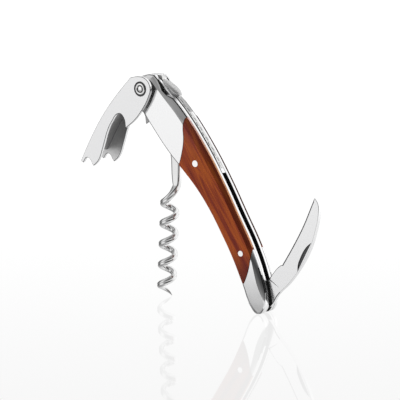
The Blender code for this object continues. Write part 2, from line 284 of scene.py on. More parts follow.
def plate(name, outline, low, high, round_off, bevels=None):
    """A flat plate with rounded rims on both faces. The rims' faces get the second material.

    bevels gives for each outline point how far its rim reaches into the flat face.
    """
    normals = inward_normals(outline)
    bevels = bevels or [round_off] * len(outline)
    rings = []
    for face, sign in ((low, 1), (high, -1)):
        for step in range(RIM_STEPS + 1)[::sign]:
            angle = math.pi / 2 * step / RIM_STEPS
            share = 1 - math.sin(angle)
            lift = round_off * (1 - math.cos(angle))
            rings.append(
                [
                    (x + n.x * bevel * share, face + sign * lift, z + n.y * bevel * share)
                    for (x, z), n, bevel in zip(outline, normals, bevels)
                ]
            )
    piece = stack_rings(name, rings)
    for polygon in piece.data.polygons:
        band = polygon.index // len(outline)
        if band != RIM_STEPS and band <= 2 * RIM_STEPS:
            polygon.material_index = 1
    return piece


def shade(piece, angle=32):
    """Smooth shading, except across edges that are sharper than angle."""
    piece.data.shade_smooth()
    piece.data.set_sharp_from_angle(angle=math.radians(angle))
    weighted = piece.modifiers.new("even_faces", "WEIGHTED_NORMAL")
    weighted.keep_sharp = True
    weighted.weight = 80


def soften(piece, width, segments, angle, material=-1):
    """Bevel the edges that are sharper than angle."""
    bevel = piece.modifiers.new("soft_edges", "BEVEL")
    bevel.width = width * MM
    bevel.segments = segments
    bevel.limit_method = "ANGLE"
    bevel.angle_limit = math.radians(angle)
    bevel.material = material


def cut_with(piece, cutter, operation, look=0):
    """Cut a piece: the faces that the cutter leaves get the material with that number."""
    for thing in (piece, cutter):
        while len(thing.data.materials) < 4:
            thing.data.materials.append(None)
    for polygon in cutter.data.polygons:
        polygon.material_index = look
    cut = piece.modifiers.new("cut", "BOOLEAN")
    cut.operation = operation
    cut.solver = "EXACT"
    cut.object = cutter
    bpy.context.view_layer.update()
    graph = bpy.context.evaluated_depsgraph_get()
    mesh = bpy.data.meshes.new_from_object(piece.evaluated_get(graph))
    piece.modifiers.clear()
    piece.data = mesh
    bpy.data.objects.remove(cutter, do_unlink=True)
    surface = bmesh.new()
    surface.from_mesh(mesh)
    bmesh.ops.remove_doubles(surface, verts=surface.verts, dist=0.01 * MM)
    bmesh.ops.dissolve_degenerate(surface, edges=surface.edges, dist=0.005 * MM)
    surface.to_mesh(mesh)
    surface.free()


def place_piece(piece, finish, body, slot, *nodes):
    """Give a piece its materials, in the order of its faces' numbers, and its body."""
    chosen = [polygon.material_index for polygon in piece.data.polygons]
    piece.data.materials.clear()
    for material in finish:
        piece.data.materials.append(material)
    for polygon, index in zip(piece.data.polygons, chosen):
        polygon.material_index = index
    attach(piece, body)
    if nodes:
        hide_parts(*nodes)


def lathe(name, profile, centre, steps):
    """A body turned about Y: profile points are (radius, y), from one end's axis to the other's."""
    surface = bmesh.new()
    rows = []
    for radius, y in profile:
        count = steps if radius > 0 else 1
        turns = [2 * math.pi * step / steps for step in range(count)]
        rows.append(
            [
                surface.verts.new(
                    (centre[0] + radius * math.cos(turn), y, centre[1] + radius * math.sin(turn))
                )
                for turn in turns
            ]
        )
    for first, second in zip(rows, rows[1:]):
        bridge(surface, first, second)
    return to_object(surface, name)


# ---------------------------------------------------------------- materials

GRAIN_TURN = math.radians(57)  # the grain follows the handle
WOOD_TONES = (
    (0.100, 0.015, 0.009),
    (0.158, 0.029, 0.009),
    (0.215, 0.049, 0.009),
    (0.140, 0.021, 0.012),
)
# Painted highlight: paler tones for the left scale's rounded edge beside the liner.
LIT_EDGE_TONES = (
    (0.40, 0.190, 0.090),
    (0.50, 0.255, 0.125),
    (0.60, 0.325, 0.170),
    (0.46, 0.225, 0.110),
)
# Painted shade: dark tones for the right scale's edge beside the liner.
SHADED_WOOD_TONES = (
    (0.030, 0.014, 0.010),
    (0.045, 0.022, 0.015),
    (0.060, 0.030, 0.020),
    (0.040, 0.019, 0.013),
)
# Colour by height: darker towards the lower end, and a painted bluish sheen towards the upper end.
WOOD_ENDS = (
    (0.0, (0.40, 0.42, 1.0)),
    (0.10, (0.62, 0.60, 1.0)),
    (0.22, (1.0, 0.95, 1.0)),
    (0.72, (1.0, 1.0, 1.0)),
    (1.0, (0.98, 1.15, 2.2)),
)
WOOD_VEINS = (
    (0.36, (0.45, 0.38, 0.36)),
    (0.50, (1.0, 1.0, 1.0)),
    (0.70, (1.12, 1.06, 1.0)),
)


def new_material(name):
    material = bpy.data.materials.new(name)
    material.use_nodes = True
    return material, material.node_tree, material.node_tree.nodes["Principled BSDF"]


def add_node(tree, kind, **settings):
    node = tree.nodes.new(kind)
    for key, value in settings.items():
        setattr(node, key, value)
    return node


def object_coordinates(tree):
    return add_node(tree, "ShaderNodeTexCoord").outputs["Object"]


def split_axes(tree, vector):
    split = add_node(tree, "ShaderNodeSeparateXYZ")
    tree.links.new(vector, split.inputs["Vector"])
    return split.outputs


def grain_noise(tree, turn, stretch, scale, detail):
    """Noise that is drawn out along a grain, which turn leans in the XZ plane."""
    mapping = add_node(tree, "ShaderNodeMapping", vector_type="TEXTURE")
    mapping.inputs["Rotation"].default_value = (0.0, turn, 0.0)
    mapping.inputs["Scale"].default_value = stretch
    tree.links.new(object_coordinates(tree), mapping.inputs["Vector"])
    noise = add_node(tree, "ShaderNodeTexNoise")
    noise.inputs["Scale"].default_value = scale
    noise.inputs["Detail"].default_value = detail
    tree.links.new(mapping.outputs["Vector"], noise.inputs["Vector"])
    return noise


def ramp(tree, factor, stops):
    """A colour ramp: stops are (position, colour), where a number stands for a grey."""
    node = add_node(tree, "ShaderNodeValToRGB")
    elements = node.color_ramp.elements
    while len(elements) < len(stops):
        elements.new(0.5)
    for element, (position, color) in zip(elements, stops):
        element.position = position
        element.color = (*color, 1.0) if isinstance(color, tuple) else (color, color, color, 1.0)
    tree.links.new(factor, node.inputs["Fac"])
    return node.outputs["Color"]


def map_range(tree, value, low, high, start=0.0, end=1.0, **settings):
    """Map a value from start..end to low..high, and hold it there."""
    node = add_node(tree, "ShaderNodeMapRange", **settings)
    node.inputs["From Min"].default_value = start
    node.inputs["From Max"].default_value = end
    node.inputs["To Min"].default_value = low
    node.inputs["To Max"].default_value = high
    tree.links.new(value, node.inputs["Value"])
    return node.outputs["Result"]


def mix_colors(tree, factor, first, second, **settings):
    node = add_node(tree, "ShaderNodeMix", data_type="RGBA", **settings)
    if isinstance(factor, float):
        node.inputs["Factor"].default_value = factor
    else:
        tree.links.new(factor, node.inputs["Factor"])
    tree.links.new(first, node.inputs["A"])
    tree.links.new(second, node.inputs["B"])
    return node.outputs["Result"]


def arithmetic(tree, operation, first, second):
    """A Math node of two inputs: the second is a number or a socket."""
    node = add_node(tree, "ShaderNodeMath", operation=operation)
    tree.links.new(first, node.inputs[0])
    if isinstance(second, float):
        node.inputs[1].default_value = second
    else:
        tree.links.new(second, node.inputs[1])
    return node.outputs["Value"]


def add_relief(tree, shader, height, strength, distance):
    """Fine relief on a material's surface."""
    bump = add_node(tree, "ShaderNodeBump")
    bump.inputs["Strength"].default_value = strength
    bump.inputs["Distance"].default_value = distance
    tree.links.new(height, bump.inputs["Height"])
    tree.links.new(bump.outputs["Normal"], shader.inputs["Normal"])


def steel(name, tint, rough_low, rough_high):
    """Steel with the faint directional lines of its polishing."""
    material, tree, shader = new_material(name)
    shader.inputs["Base Color"].default_value = (*tint, 1.0)
    shader.inputs["Metallic"].default_value = 1.0
    lines = grain_noise(tree, 0.0, (0.02, 0.0012, 0.0012), 4.0, 6.0).outputs["Fac"]
    rough = map_range(tree, lines, rough_low, rough_high)
    tree.links.new(rough, shader.inputs["Roughness"])
    add_relief(tree, shader, lines, 0.02, 0.0001)
    return material


def painted_lever_shade(name):
    """The lever's inner faces: painted shade from the fold, and a painted reflection that is bright
    again towards the teeth.
    """
    material, tree, shader = new_material(name)
    shader.inputs["Metallic"].default_value = 1.0
    axes = split_axes(tree, object_coordinates(tree))
    height = map_range(tree, axes["Z"], 0.0, 1.0, 0.058, 0.078)
    hook = map_range(tree, axes["X"], 0.0, 1.0, -0.040, -0.046)
    depth = arithmetic(tree, "MULTIPLY", height, hook)
    color = ramp(tree, depth, ((0.0, 0.80), (0.16, 0.72), (0.34, 0.50), (1.0, 0.42)))
    tree.links.new(color, shader.inputs["Base Color"])
    specks = grain_noise(tree, 0.0, (1.0, 1.0, 1.0), 900.0, 4.0).outputs["Fac"]
    tree.links.new(map_range(tree, specks, 0.30, 0.50), shader.inputs["Roughness"])
    return material


def rosewood(name, tones, gloss):
    """Wood with long grain, darker veins and an oiled gloss, in four tones, darker towards its
    lower end and with a painted sheen towards its upper end.
    """
    material, tree, shader = new_material(name)
    broad = grain_noise(tree, GRAIN_TURN, (0.060, 0.007, 0.0045), 2.2, 3.0)
    broad.inputs["Distortion"].default_value = 0.6
    fine = grain_noise(tree, GRAIN_TURN, (0.020, 0.0008, 0.0008), 3.0, 8.0)
    fine.inputs["Roughness"].default_value = 0.65
    pores = fine.outputs["Fac"]
    base = ramp(tree, broad.outputs["Fac"], list(zip((0.30, 0.47, 0.58, 0.72), tones)))
    height = split_axes(tree, object_coordinates(tree))["Z"]
    ends = ramp(tree, map_range(tree, height, 0.0, 1.0, 0.012, 0.085), WOOD_ENDS)
    tinted = mix_colors(tree, 1.0, base, ends, blend_type="MULTIPLY")
    veins = ramp(tree, pores, WOOD_VEINS)
    color = mix_colors(tree, 0.55, tinted, veins, blend_type="MULTIPLY")
    tree.links.new(color, shader.inputs["Base Color"])
    tree.links.new(map_range(tree, pores, 0.46, 0.30), shader.inputs["Roughness"])
    shader.inputs["Specular IOR Level"].default_value = gloss
    add_relief(tree, shader, pores, 0.12, 0.0002)
    return material


def painted_shade_finish(name, dark, pale):
    """Painted shade: a dull, mottled near-black put where shade falls, in seams, gaps, the slot and
    reliefs.
    """
    material, tree, shader = new_material(name)
    spots = grain_noise(tree, 0.0, (0.003, 0.003, 0.003), 2.0, 5.0).outputs["Fac"]
    tree.links.new(ramp(tree, spots, ((0.30, dark), (0.70, pale))), shader.inputs["Base Color"])
    shader.inputs["Roughness"].default_value = 0.80
    shader.inputs["Specular IOR Level"].default_value = 0.0
    return material


# ---------------------------------------------------------------- the handle


def scoop(x, z):
    """How deep the hollow beside the catch is at a point on the handle's back."""
    start, end, depth = SCOOP
    along = math.dist((x, z), BACK_END)
    if along < start or along > end or z < SCOOP_LOW:
        return 0.0
    return depth * math.sin(math.pi * (along - start) / (end - start)) ** 2


def crown(z):
    """How far the flat faces sink towards the handle's lower end."""
    return max(0.0, CROWN_START - z) ** 2 / (2 * CROWN_RADIUS)


def facing_back(normal):
    """1 where an outline's wall faces the handle's back, 0 where it faces the belly."""
    share = max(0.0, min(1.0, 0.5 - normal.dot(Vector((0.77, 0.64))) * 1.6))
    return share * share * (3 - 2 * share)


def is_seam(part, sign, band, x, z):
    """Whether a band of the slab beside the liner gets painted shade. Band 0 is next to the liner.
    """
    if part == "upper_bolster":
        # painted shade in the left seam and in the hollow beside the catch
        return (sign < 0 and band in (2, 3, 4)) or (band < 5 and scoop(x, z) > 0.15)
    if part == "lower_bolster":
        # painted shade in the seam above SEAM_LOW, thinner higher up
        return band < 5 and SEAM_LOW < z and band >= (z - SEAM_FADE) / 1.5
    # painted shade on the right scale's edge
    return sign > 0 and band < 4


def paint_bands(slab, outline, normals, part, sign):
    """Number the materials: 1 painted shade in the seam beside the liner, 2 painted shade on the
    belly's rim, 3 painted highlight on the wood's edge.
    """
    for polygon in slab.data.polygons:
        band, index = divmod(polygon.index, len(outline))
        x, z = outline[index]
        on_back = facing_back(normals[index]) > 0.5
        if on_back and is_seam(part, sign, band, x, z):
            polygon.material_index = 1
        # painted highlight on the left scale's rounded edge
        elif on_back and part == "scale" and band < 3:
            polygon.material_index = 3
        # painted shade on a bolster's belly facet, and all round near the lower end
        elif part != "scale" and 4 < band < 10 and (not on_back or z < RIM_END):
            polygon.material_index = 2


def facet_profile(strip, bow):
    """Steps from the liner to the flat face: rounded strip, convex facet, soft edge."""
    share = strip / 0.45
    profile = [(0.0, 0.0), (0.015, 0.13), (0.05, 0.26), (0.11, 0.37), (0.20, 0.45)]
    profile = [(across * share, up * share) for across, up in profile]
    across, up = profile[-1]
    for step, bulge in ((1 / 3, bow), (2 / 3, bow), (1, 0.0)):
        profile.append((across + (0.90 - across) * step - bulge, up + (0.945 - up) * step + bulge))
    return profile + [(0.96, 0.985), (1.0, 1.0)]


def facet_slab(name, outline, sign, strip, bow):
    """One side's outer layer: edge strip, facet and gently crowned face, in one closed body."""
    normals = inward_normals(outline)
    rings = []
    for across, up in facet_profile(strip, bow):
        ring = []
        for (x, z), normal in zip(outline, normals):
            on_back = facing_back(normal)
            hollow = scoop(x, z) * on_back
            width = BELLY_WIDTH + (table_value(FACET, z, 1) - BELLY_WIDTH) * on_back
            start = table_value(FACET, z, 2)
            start = BELLY_START + (start - BELLY_START) * on_back + 0.75 * hollow
            y = start + (SIDE_OUT - start) * up - crown(z) * up
            inset = hollow + (max(width, hollow + 0.35) - hollow) * across
            ring.append((x + normal.x * inset, sign * y, z + normal.y * inset))
        rings.append(ring)
    rings.insert(0, [(x, sign * SIDE_IN, z) for x, y, z in rings[0]])
    return stack_rings(name, rings)


def crown_cap(slab, sign):
    """Put a fine net into the outer cap, so that it can follow the crown."""
    surface = bmesh.new()
    surface.from_mesh(slab.data)
    caps = [face for face in surface.faces if len(face.verts) > 4]
    cap = max(caps, key=lambda face: face.calc_center_median().y * sign)
    loop = list(cap.verts)
    if area([(vertex.co.x, vertex.co.z) for vertex in loop]) < 0:
        loop.reverse()
    points = [Vector((vertex.co.x, vertex.co.z)) / MM for vertex in loop]
    bmesh.ops.delete(surface, geom=[cap], context="FACES_ONLY")
    count = len(points)
    inside = []
    low_x = min(point.x for point in points)
    high_x = max(point.x for point in points)
    for row in range(int((CROWN_START + 2.0) / NET_STEP) + 1):
        for column in range(int((high_x - low_x) / NET_STEP) + 1):
            spot = Vector((low_x + NET_STEP * column, NET_STEP * row))
            if is_inside(points, spot):
                if min((spot - point).length for point in points) > NET_MARGIN:
                    inside.append(spot)
    edges = [(index, (index + 1) % count) for index in range(count)]
    found = delaunay_2d_cdt(points + inside, edges, [list(range(count))], 1, 0.0001)
    corners = []
    for place, sources in zip(found[0], found[3]):
        own = [source for source in sources if source < count]
        if own:
            corners.append(loop[own[0]])
        else:
            y = sign * (SIDE_OUT - crown(place.y))
            corners.append(surface.verts.new(Vector((place.x, y, place.y)) * MM))
    for triangle in found[2]:
        picked = [corners[index] for index in triangle]
        if len(set(picked)) == 3 and surface.faces.get(picked) is None:
            surface.faces.new(picked)
    bmesh.ops.recalc_face_normals(surface, faces=surface.faces)
    surface.to_mesh(slab.data)
    surface.free()


def is_inside(points, spot):
    """Whether a spot is inside an outline, by counting the walls on its right."""
    odd = False
    for first, second in zip(points, points[1:] + points[:1]):
        if (first.y > spot.y) != (second.y > spot.y):
            cross = first.x + (spot.y - first.y) / (second.y - first.y) * (second.x - first.x)
            if spot.x < cross:
                odd = not odd
    return odd


def keep_region(node, handle, sign):
    """A block that holds one CAD cheek and reaches past the handle's own outline."""
    pushed = []
    for x, z in flat_outline(node, sign * SIDE_IN):
        nearest = min(range(len(handle)), key=lambda index: math.dist(handle[index], (x, z)))
        if segment_distance(handle, nearest, (x, z)) < 0.06:
            outward = -inward_normal_at(handle, nearest)
            x += outward.x * 4.0
            z += outward.y * 4.0
        pushed.append((x, z))
    return prism(node + "_region", pushed, sign, SIDE_IN - 0.5, SIDE_OUT + 1.0)


def segment_distance(points, index, spot):
    """How far a spot is from the two stretches of an outline that meet at one of its points."""
    distances = []
    for first, second in ((index - 1, index), (index, (index + 1) % len(points))):
        offset = Vector(spot) - Vector(points[first])
        along = Vector(points[second]) - Vector(points[first])
        share = max(0.0, min(1.0, offset.dot(along) / along.length_squared))
        distances.append((offset - along * share).length)
    return min(distances)


def inward_normal_at(points, index):
    """The inward direction at one outline point, square to the line between its neighbours."""
    along = Vector(points[(index + 1) % len(points)]) - Vector(points[index - 1])
    along.normalize()
    return Vector((-along.y, along.x))


def build_sides(handle, looks):
    """The bolsters and scales, each cut out of one slab that has the handle's whole outline."""
    # Each slab's second look is painted shade in its seam, and its third is painted shade on its
    # rim.
    upper_looks = (looks["mirror"], looks["shadow"], looks["rim"])
    lower_looks = (looks["mirror"], looks["pocket"], looks["rim"])
    # The wood's second look is painted shade, and its fourth is a painted highlight.
    wood_looks = (looks["wood"], looks["shaded_wood"], looks["wood"], looks["lit_edge_wood"])
    normals = inward_normals(handle)
    for side, sign in SIDES:
        for part, look, strip, bow, slot in (
            ("upper_bolster", upper_looks, 0.30, 0.06, "steel"),
            ("scale", wood_looks, 0.45, 0.03, "rosewood"),
            ("lower_bolster", lower_looks, 0.45, 0.03, "steel"),
        ):
            node = "%s_%s" % (side, part)
            slab = facet_slab(node + "_shaped", handle, sign, strip, bow)
            paint_bands(slab, handle, normals, part, sign)
            crown_cap(slab, sign)
            cut_with(slab, keep_region(node, handle, sign), "INTERSECT")
            soften(slab, 0.07, 2, 35)
            shade(slab, 38)
            place_piece(slab, look, "handle", slot, node)


def build_liners(handle, looks):
    """Painted shade: the liners' rims are painted dark where they turn away from the left, and
    their slot is painted black.
    """
    for side, sign in SIDES:
        low, high = sorted((sign * LINER_IN, sign * LINER_OUT))
        liner = plate(side + "_liner_shaped", handle, low, high, 0.16)
        for polygon in liner.data.polygons:
            centre = polygon.center / MM
            normal = polygon.normal
            along = math.dist((centre.x, centre.z), BACK_END)
            on_back = normal.x > 0.3 and centre.z > 70
            # Painted shade: the faces inside the slot are painted black.
            if abs(normal.y) > 0.9 and abs(centre.y) < LINER_IN + 0.1:
                polygon.material_index = 2
            # Painted shade: rims that turn away from the left keep the dark gap look; the others
            # become satin.
            elif polygon.material_index == 1 and normal.y < 0:
                polygon.material_index = 0
            # Painted shade on the right liner's back, below the catch.
            elif side == "right" and on_back and PAINTED_SHADE_SPAN[0] < along < PAINTED_SHADE_SPAN[1]:
                polygon.material_index = 3
        shade(liner)
        finish = (looks["satin"], looks["gap"], looks["shadow"], looks["upper_spring"])
        place_piece(liner, finish, "handle", "satin_steel", side + "_liner")


# ---------------------------------------------------------------- pins and rivet


def build_pins(looks):
    """The scale pins follow the crown, and the pivot pins are ground flush or end inside."""
    for side, sign in SIDES:
        for which, radius in (("upper", 1.5), ("lower", 1.3)):
            node = "%s_%s_scale_pin" % (side, which)
            face = SIDE_OUT - crown(middle(node)[1]) + 0.05
            profile = [(0.0, 1.6), (radius, 1.6), (radius, face - 0.05), (radius - 0.06, face)]
            profile = [(around, sign * y) for around, y in profile + [(0.0, face)]]
            pin = lathe(node + "_flush", profile, middle(node), 32)
            shade(pin, 30)
            place_piece(pin, (looks["bright"],), "handle", "bright_steel", node)
    for node, face in (("worm_pivot_pin", SIDE_OUT + 0.01), ("knife_pivot_pin", BLIND_PIN)):
        half = [(0.0, face), (PIVOT_RADIUS - 0.05, face), (PIVOT_RADIUS, face - 0.06)]
        profile = [(around, -y) for around, y in half] + half[::-1]
        pin = lathe(node + "_ground", profile, middle(node), 32)
        shade(pin, 40)
        place_piece(pin, (looks["mirror"],), "handle", "steel", node)


def build_rivet(looks):
    """A rivet with a rolled rim and a domed core at each end, with painted shade in its two
    grooves.
    """
    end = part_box("lever_rivet")[1].y / MM
    half = [
        (0.00, 0.00, 0),
        (0.84, 0.05, 0),
        (1.20, 0.18, 1),
        (1.26, 0.55, 1),
        (1.56, 0.55, 1),
        (1.62, 0.26, 0),
        (1.76, 0.06, 0),
        (2.10, 0.00, 0),
        (2.42, 0.05, 0),
        (2.56, 0.20, 1),
        (2.60, 0.50, 1),
        (3.10, 0.50, 1),
    ]
    profile = [(radius, end - depth) for radius, depth, look in half]
    profile += [(radius, -y) for radius, y in profile[::-1]]
    rivet = lathe("lever_rivet_rolled", profile, LEVER_PIVOT, RIVET_STEPS)
    looks_down = [look for radius, depth, look in half]
    looks_down += looks_down[-2::-1]
    for polygon in rivet.data.polygons:
        polygon.material_index = looks_down[polygon.index // RIVET_STEPS]
    shade(rivet, 50)
    finish = (looks["bright"], looks["pocket"])
    place_piece(rivet, finish, "handle", "bright_steel", "lever_rivet")


# ---------------------------------------------------------------- spring and catch


def back_line(handle):
    """The handle's back from its upper corner downwards, as (distance, x, z) points."""
    start = min(range(len(handle)), key=lambda index: math.dist(handle[index], BACK_END))
    count = len(handle)
    step = 1 if handle[(start + 1) % count][0] > handle[start][0] else -1
    result = [(0.0, *handle[start])]
    index = start
    while result[-1][2] > 5.0:
        index = (index + step) % count
        x, z = handle[index]
        result.append((result[-1][0] + math.dist(result[-1][1:], (x, z)), x, z))
    return result


def back_point(line, along):
    """The point and outward direction on the back at a distance from its upper corner."""
    for (s0, x0, z0), (s1, x1, z1) in zip(line, line[1:]):
        if along <= s1 or s1 == line[-1][0]:
            break
    share = (along - s0) / (s1 - s0)
    heading = Vector((x1 - x0, 0.0, z1 - z0)).normalized()
    outward = Vector((-heading.z, 0.0, heading.x))
    return Vector((x0 + (x1 - x0) * share, 0.0, z0 + (z1 - z0) * share)), outward


def build_spring(handle, looks):
    """The back spring, with painted shade where it is the slot's floor, and its file-worked back.
    """
    outline = flat_outline("back_spring", -SPRING_HALF)
    spring = plate("back_spring_shaped", outline, -SPRING_HALF, SPRING_HALF, 0.15)
    shade(spring)
    for polygon in spring.data.polygons:
        # painted shade on the slot's floor
        if polygon.center.z < 0.060:
            polygon.material_index = 2
    finish = (looks["satin"], looks["edge"], looks["shadow"])
    place_piece(spring, finish, "handle", "satin_steel", "back_spring")
    build_filework(handle, looks)


def file_cut(along, across):
    """Depth of the ornament, from 0 to 1: a running wave, with fine slanting cuts beside it."""
    wave = 0.42 * math.sin(2 * math.pi * along / 5.2)
    gap = abs(across - wave)
    broken = 1.0 if (along / 2.6) % 1.0 < 0.78 else 0.0
    line = max(0.0, 1.0 - gap / 0.24) ** 0.5 * broken
    slant = 0.5 + 0.5 * math.sin(2 * math.pi * (along + 0.9 * across) / 0.85)
    fine = 0.30 * max(0.0, slant - 0.45) / 0.55 if gap > 0.3 else 0.0
    return max(line, fine)


def build_filework(handle, looks):
    """The file-worked strip on the spring's back, with a small scroll at its upper end."""
    line = back_line(handle)
    start, end = FILEWORK
    rows = 340
    columns = 18
    half = SPRING_HALF - 0.04
    surface = bmesh.new()
    top = []
    base = []
    for row in range(rows + 1):
        along = start + (end - start) * row / rows
        point, outward = back_point(line, along)
        scroll = math.exp(-((along - 1.9) / 1.05) ** 2)
        high = []
        low = []
        for column in range(columns + 1):
            across = -half + 2 * half * column / columns
            rim = min(1.0, (half - abs(across)) / 0.18, 8 * row / rows, 8 * (rows - row) / rows)
            depth = CUT_DEPTH * file_cut(along, across) if along > PATTERN_START else 0.0
            lift = scroll + (FILEWORK_RISE - depth) * rim
            high.append(surface.verts.new(point + outward * lift + Vector((0.0, across, 0.0))))
            low.append(surface.verts.new(point - outward * 0.12 + Vector((0.0, across, 0.0))))
        top.append(high)
        base.append(low)
    for row in range(rows):
        for column in range(columns):
            corners = (top[row][column], top[row][column + 1])
            onward = (top[row + 1][column + 1], top[row + 1][column])
            face = surface.faces.new(corners + onward)
            along = start + (end - start) * (row + 0.5) / rows
            across = -half + 2 * half * (column + 0.5) / columns
            # Painted shade: a dark line along the strip's left edge, dark groove floors, and a
            # darker right part below the catch.
            if across < 0.28 - half:
                face.material_index = 3
            elif along > PATTERN_START and file_cut(along, across) > 0.55:
                face.material_index = 1
            elif PAINTED_SHADE_SPAN[0] < along < PAINTED_SHADE_SPAN[1] and across > -0.7:
                face.material_index = 2
            corners = (base[row][column], base[row + 1][column])
            onward = (base[row + 1][column + 1], base[row][column + 1])
            surface.faces.new(corners + onward)
        for column in (0, columns):
            corners = (top[row][column], base[row][column])
            surface.faces.new(corners + (base[row + 1][column], top[row + 1][column]))
    for row in (0, rows):
        for column in range(columns):
            corners = (top[row][column], top[row][column + 1])
            surface.faces.new(corners + (base[row][column + 1], base[row][column]))
    strip = to_object(surface, "back_spring_filework")
    shade(strip, 50)
    finish = (looks["spring"], looks["edge"], looks["upper_spring"], looks["gap"])
    place_piece(strip, finish, "handle", "satin_steel")


def build_catch(handle, looks):
    """A generic leaf-shaped thumb catch with a cross-hatched crown."""
    line = back_line(handle)
    middle_point, up = back_point(line, CATCH_MIDDLE)
    along_axis = Vector((up.z, 0.0, -up.x))
    across_axis = Vector((0.0, 1.0, 0.0))
    half_length, half_width = CATCH_HALF
    rings = 26
    spokes = 96
    skirt_places = []
    surface = bmesh.new()
    rows = []
    for ring in range(rings + 1):
        share = ring / rings
        row = []
        for spoke in range(spokes if ring else 1):
            angle = 2 * math.pi * spoke / spokes
            taper = 1.0 + 0.10 * math.cos(angle)
            s = half_length * math.cos(angle) * share
            t = half_width * math.sin(angle) * share * taper
            crest = CATCH_RISE * (1 - 0.58 * share ** 4) + 0.16 * s
            ridge = math.sin(math.pi * (s + t) / HATCH_PITCH)
            ridge *= math.sin(math.pi * (s - t) / HATCH_PITCH)
            bite = 0.15 * abs(ridge) if share < 0.93 else 0.0
            place = middle_point + along_axis * s + across_axis * t
            row.append(surface.verts.new(place + up * (crest - bite)))
            if ring == rings:
                place = middle_point + along_axis * (s * 0.97) + across_axis * (t * 0.86)
                skirt_places.append(place - up * 0.35)
        rows.append(row)
    for first, second in zip(rows, rows[1:]):
        for face in bridge(surface, first, second):
            face.material_index = 1
    skirt = [surface.verts.new(place) for place in skirt_places]
    bridge(surface, rows[-1], skirt)
    surface.faces.new(skirt)
    catch = to_object(surface, "thumb_catch_hatched")
    shade(catch, 60)
    finish = (looks["satin"], looks["hatch"])
    place_piece(catch, finish, "handle", "satin_steel", "thumb_catch")


# ---------------------------------------------------------------- lever


def copy_node(node, name):
    """A new object with a node's shape, its vertices welded and its flat faces made whole."""
    source = frame["nodes"][node]
    surface = bmesh.new()
    surface.from_mesh(source.data)
    bmesh.ops.remove_doubles(surface, verts=surface.verts, dist=0.000002)
    bmesh.ops.dissolve_limit(
        surface, angle_limit=math.radians(0.6), verts=surface.verts, edges=surface.edges
    )
    mesh = bpy.data.meshes.new(name)
    surface.to_mesh(mesh)
    surface.free()
    piece = bpy.data.objects.new(name, mesh)
    bpy.context.scene.collection.objects.link(piece)
    return piece


def build_lever(looks):
    """The folded lever with softened edges, with painted shade on those edges and inside."""
    lever = copy_node("lever", "lever_folded")
    # Painted shade and a painted reflection on the plates' inner faces and on the web inside.
    for polygon in lever.data.polygons:
        centre = polygon.center / MM
        if abs(centre.y) < 6.75 and abs(centre.y) > 0.2 and abs(polygon.normal.y) > 0.9:
            polygon.material_index = 1
        if abs(centre.y) < 0.2 and polygon.normal.x > 0.2 and abs(centre.x + 48.0) < 14.0:
            polygon.material_index = 1
    soften(lever, 0.26, 3, 40, 2)
    shade(lever, 40)
    finish = (looks["lever"], looks["inside"], looks["edge"])
    place_piece(lever, finish, "lever", "steel", "lever")


# ---------------------------------------------------------------- worm


def worm_path():
    """Stations down the worm: middle, half width, half thickness and how far it is coiled."""
    pivot_x, pivot_z = WORM_PIVOT
    top_x = pivot_x + COIL_DROP[0]
    top_z = pivot_z - COIL_DROP[1]
    path = []
    shank = (
        (pivot_x, pivot_z + 2.75, 1.4, TANG_HALF),
        (pivot_x, pivot_z + 2.2, 2.2, TANG_HALF),
        (pivot_x, pivot_z + 0.6, 2.7, TANG_HALF),
        (pivot_x + 0.35, pivot_z - 5.0, 2.6, TANG_HALF),
        (pivot_x + 0.85, pivot_z - 11.0, 2.35, TANG_HALF),
        (top_x + 0.35, top_z + 10.0, 2.2, TANG_HALF),
        (top_x + 0.45, top_z + 7.6, 2.05, 1.2),
        (top_x + 0.55, top_z + 5.8, 1.85, 1.3),
    )
    for x, z, half_width, half_thickness in shank:
        path.append((Vector((x, 0.0, z)), half_width, half_thickness, 0.0))
    steps = round(COIL_TURNS * STEPS_PER_TURN)
    for step in range(steps + 1):
        turn = COIL_TURNS * step / steps
        angle = -2 * math.pi * turn
        start = max(0.0, 1.0 - turn / 0.30)
        left = COIL_TURNS - turn
        droop = 1.5 * max(0.0, 1.0 - left / 0.30) ** 1.6
        drop = turn * COIL_PITCH + droop - 4.4 * start ** 1.7
        axis_x = top_x - COIL_RADIUS - turn * COIL_PITCH * COIL_LEAN + 0.55 * start
        x = axis_x + COIL_RADIUS * math.cos(angle)
        y = COIL_RADIUS * math.sin(angle)
        size = WIRE_RADIUS * max(0.05, min(1.0, left / 0.42)) ** 0.6
        path.append((Vector((x, y, top_z - drop)), size, size, min(1.0, turn / 0.35)))
    return path


def wire_section(angle, coiled):
    """Section of the worm as (outwards, sideways): a bar at its shank, fluted wire in its coil."""
    cosine = math.cos(angle)
    sine = math.sin(angle)
    blunt = (abs(cosine) ** 5 + abs(sine) ** 5) ** (-1 / 5)
    groove = 0.0
    for middle, depth, breadth in ((0.0, 0.30, 0.42), (math.pi, 0.12, 0.40)):
        turn = (angle - middle + math.pi) % (2 * math.pi) - math.pi
        groove += depth * math.exp(-((turn / breadth) ** 2))
    round_radius = (1.0 - groove) * (1.0 + 0.05 * math.cos(4 * angle))
    radius = blunt + (round_radius - blunt) * coiled
    return radius * cosine, radius * sine


